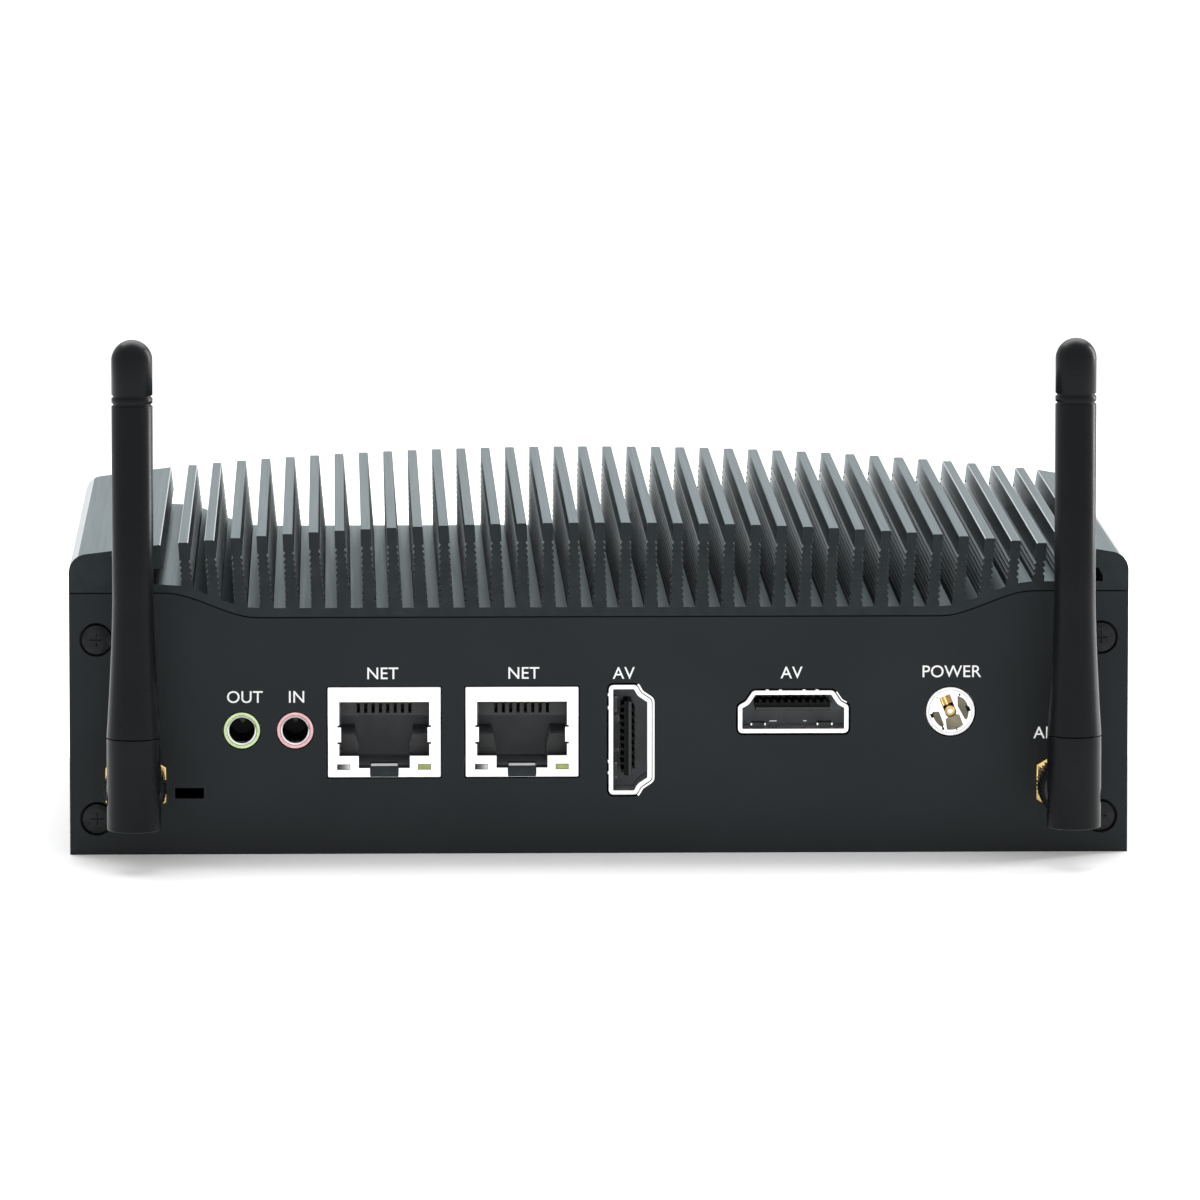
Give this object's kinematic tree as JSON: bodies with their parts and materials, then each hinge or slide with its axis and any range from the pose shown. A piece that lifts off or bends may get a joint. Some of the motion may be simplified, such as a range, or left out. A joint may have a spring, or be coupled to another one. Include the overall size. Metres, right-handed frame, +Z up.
{
  "type": "fanless mini pc",
  "caption": "Small metal box computer cooled by a crowned lid of long fins, with a row of sockets along its rear panel and folding antennas on swivels at the rear corners.",
  "frame": {"origin": "centre of the case's flat underside", "axes": "+X to the right as seen from the port side, +Y from the port side towards the power-button side, +Z up"},
  "size_m": [0.147, 0.1282, 0.0733],
  "materials": {
    "anodised_case": "fine satin anodised, dark charcoal",
    "black_screws": "black oxide",
    "bare_steel": "bright tin plate",
    "gold_plate": "gold plated",
    "bare_aluminium": "milled",
    "black_moulding": "moulded, fine matt",
    "white_moulding": "moulded, satin",
    "green_moulding": "moulded, satin, pale green ring",
    "pink_moulding": "moulded, satin, pale pink ring",
    "antenna_cover": "soft satin black",
    "circuit_board": "solder mask over glass fibre",
    "chip_package": "matt moulded",
    "light_pipe": "clear tinted"
  },
  "bodies": {
    "root": {"heatsink_lid": "anodised_case", "chassis_tray": "anodised_case", "rear_panel": "anodised_case", "front_panel": "anodised_case", "rear_screw_1": "black_screws", "rear_screw_2": "black_screws", "rear_screw_3": "black_screws", "rear_screw_4": "black_screws", "front_screw_1": "black_screws", "front_screw_2": "black_screws", "front_screw_3": "black_screws", "front_screw_4": "black_screws", "lid_screw_1": "black_screws", "lid_screw_2": "black_screws", "lid_screw_3": "black_screws", "lid_screw_4": "black_screws", "board_screw_1": "bare_steel", "board_screw_2": "bare_steel", "board_screw_3": "bare_steel", "board_screw_4": "bare_steel", "mainboard": "circuit_board", "memory_module": "circuit_board", "storage_module": "circuit_board", "wireless_card": "circuit_board", "processor": "chip_package", "heat_spreader": "bare_aluminium", "coin_cell": "bare_steel", "lan_shield_left": "bare_steel", "lan_shield_right": "bare_steel", "hd_shell_upright": "bare_steel", "hd_shell_flat": "bare_steel", "lan_insert_left": "black_moulding", "lan_insert_right": "black_moulding", "hd_insert_upright": "black_moulding", "hd_insert_flat": "black_moulding", "speaker_jack": "green_moulding", "microphone_jack": "pink_moulding", "power_inlet": "white_moulding", "power_pin": "gold_plate", "antenna_connector_left": "gold_plate", "antenna_hex_nut_left": "gold_plate", "antenna_lead_left": "black_moulding", "antenna_connector_right": "gold_plate", "antenna_hex_nut_right": "gold_plate", "antenna_lead_right": "black_moulding", "usb_jack_1": "bare_steel", "usb_jack_2": "bare_steel", "button_switch": "black_moulding", "light_pipe": "light_pipe"},
    "nut_left": {"coupling_nut_left": "black_screws"},
    "swivel_left": {"antenna_knuckle_left": "black_moulding"},
    "antenna_left": {"antenna_fork_left": "antenna_cover", "antenna_sleeve_left": "antenna_cover", "antenna_pivot_pin_left": "bare_steel"},
    "nut_right": {"coupling_nut_right": "black_screws"},
    "swivel_right": {"antenna_knuckle_right": "black_moulding"},
    "antenna_right": {"antenna_fork_right": "antenna_cover", "antenna_sleeve_right": "antenna_cover", "antenna_pivot_pin_right": "bare_steel"},
    "button": {"power_button": "black_screws"}
  },
  "joints": [
    {"name": "coupling_nut_left_turn", "type": "hinge", "parent": "root", "child": "nut_left", "pos_m": [-0.0643, -0.0592, 0.01], "axis": [0, 1, 0], "continuous": true},
    {"name": "antenna_left_swivel", "type": "hinge", "parent": "root", "child": "swivel_left", "pos_m": [-0.0643, -0.0632, 0.01], "axis": [0, 1, 0], "range_deg": [-90, 90]},
    {"name": "antenna_left_tilt", "type": "hinge", "parent": "swivel_left", "child": "antenna_left", "pos_m": [-0.0643, -0.07, 0.01], "axis": [1, 0, 0], "range_deg": [0, 90]},
    {"name": "coupling_nut_right_turn", "type": "hinge", "parent": "root", "child": "nut_right", "pos_m": [0.0649, -0.0592, 0.01], "axis": [0, 1, 0], "continuous": true},
    {"name": "antenna_right_swivel", "type": "hinge", "parent": "root", "child": "swivel_right", "pos_m": [0.0649, -0.0632, 0.01], "axis": [0, 1, 0], "range_deg": [-90, 90]},
    {"name": "antenna_right_tilt", "type": "hinge", "parent": "swivel_right", "child": "antenna_right", "pos_m": [0.0649, -0.07, 0.01], "axis": [1, 0, 0], "range_deg": [0, 90]},
    {"name": "power_button_press", "type": "slide", "parent": "root", "child": "button", "axis": [0, -1, 0], "range_m": [0, 0.001], "stiffness_N_per_m": 1500}
  ]
}
